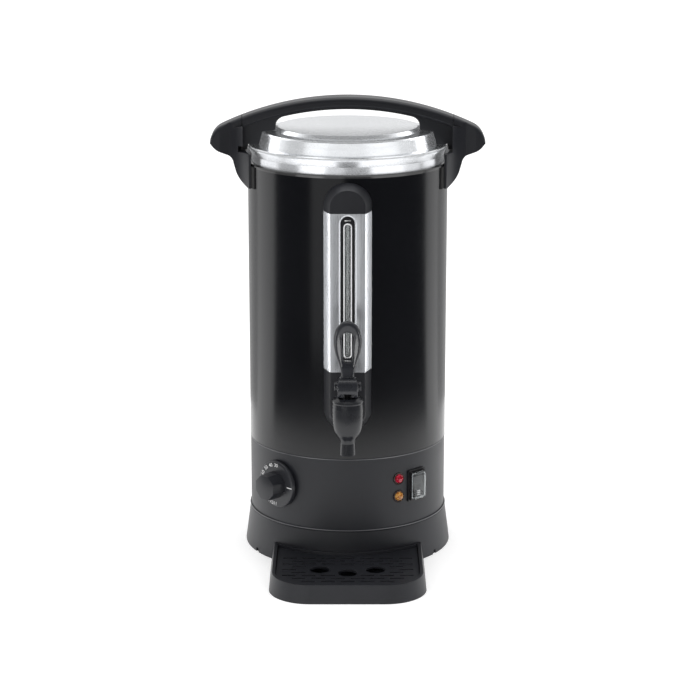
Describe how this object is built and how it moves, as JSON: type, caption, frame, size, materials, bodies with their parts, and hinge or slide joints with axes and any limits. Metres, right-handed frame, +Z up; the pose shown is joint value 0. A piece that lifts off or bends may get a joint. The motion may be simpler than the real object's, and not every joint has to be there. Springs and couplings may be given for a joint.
{
  "type": "hot water urn",
  "caption": "Tall round hot water urn with black shell, arched lid handle, side brackets, level gauge, lever tap, base controls and drip tray.",
  "frame": {"origin": "on the urn's upright axis, on the surface that it stands on", "axes": "+Z up, -Y towards the front with the tap and the drip tray, +X to the right seen from the front"},
  "size_m": [0.3016, 0.3407, 0.5065],
  "materials": {
    "black_plastic": "fine-grained moulded plastic",
    "gloss_black": "satin moulded plastic",
    "dark_plastic": "plain",
    "white_plastic": "plain",
    "black_paint": "satin powder coat",
    "stainless": "bright brushed",
    "brushed_steel": "brushed along its length",
    "plain_steel": "plain rolled",
    "screw_steel": "zinc plated",
    "aluminium_plate": "cast",
    "black_rubber": "matt",
    "clear_silicone": "translucent silicone",
    "clear_glass": "clear",
    "clear_boot": "clear splash cover",
    "red_lens": "translucent red",
    "amber_lens": "translucent amber"
  },
  "bodies": {
    "urn": {"base_skirt": "black_plastic", "base_plate": "plain_steel", "base_screws": "screw_steel", "rubber_feet": "black_rubber", "base_housing": "black_plastic", "outer_shell": "black_paint", "inner_tank": "stainless", "tank_floor": "stainless", "tank_support": "plain_steel", "heating_element": "aluminium_plate", "thermal_cutout": "dark_plastic", "thermostat": "dark_plastic", "terminal_block": "white_plastic", "cord_gland": "black_plastic", "gauge_cap": "black_plastic", "gauge_guard": "brushed_steel", "gauge_insert": "dark_plastic", "gauge_base": "black_plastic", "sight_tube": "clear_glass", "gauge_seals": "clear_silicone", "tap_body": "gloss_black", "tap_washers": "clear_silicone", "tap_nut": "dark_plastic", "tap_bonnet": "gloss_black", "tap_spring": "screw_steel", "bracket_right": "black_plastic", "bracket_left": "black_plastic", "bracket_pads": "black_rubber", "bracket_screws": "screw_steel", "lamp_red": "red_lens", "lamp_amber": "amber_lens", "lamp_clips": "dark_plastic", "switch_frame": "dark_plastic", "switch_boot": "clear_boot"},
    "lid_seal_ring": {"lid_seal": "clear_silicone"},
    "lid": {"lid_pan": "stainless", "lid_handle": "black_plastic", "lid_screws": "screw_steel"},
    "stem": {"tap_stem": "dark_plastic", "seat_cup": "clear_silicone", "lever_pin": "screw_steel"},
    "lever": {"tap_lever": "gloss_black"},
    "knob_body": {"knob": "black_plastic", "thermostat_shaft": "plain_steel"},
    "rocker_body": {"rocker": "dark_plastic"},
    "tray": {"drip_tray": "black_plastic"},
    "grille": {"drip_grille": "black_plastic"}
  },
  "joints": [
    {"name": "lid_turn", "type": "hinge", "parent": "urn", "child": "lid_seal_ring", "pos_m": [0, 0, 0.453], "axis": [0, 0, 1], "range_deg": [0, 30]},
    {"name": "lid_lift", "type": "slide", "parent": "lid_seal_ring", "child": "lid", "axis": [0, 0, 1], "range_m": [0, 0.15]},
    {"name": "stem_lift", "type": "slide", "parent": "urn", "child": "stem", "axis": [0, 0, 1], "range_m": [0, 0.00314], "stiffness_N_per_m": 300, "springref_m": -0.004, "deforming": ["tap_spring"]},
    {"name": "lever_pull", "type": "hinge", "parent": "stem", "child": "lever", "pos_m": [0, -0.165, 0.222], "axis": [1, 0, 0], "range_deg": [0, 40]},
    {"name": "knob_turn", "type": "hinge", "parent": "urn", "child": "knob_body", "pos_m": [-0.07599, -0.08008, 0.0879], "axis": [-0.6884, -0.7254, 0], "range_deg": [-270, 0]},
    {"name": "rocker_tip", "type": "hinge", "parent": "urn", "child": "rocker_body", "pos_m": [0.07345, -0.07822, 0.0872], "axis": [0.729, 0.6845, 0], "range_deg": [0, 16]},
    {"name": "tray_slide", "type": "slide", "parent": "urn", "child": "tray", "axis": [0, -1, 0], "range_m": [0, 0.12]},
    {"name": "grille_lift", "type": "slide", "parent": "tray", "child": "grille", "axis": [0, 0, 1], "range_m": [0, 0.04]}
  ],
  "couplings": [
    {"joint": "lever_pull", "follows": "stem_lift", "rad_per_m": 222.2}
  ]
}
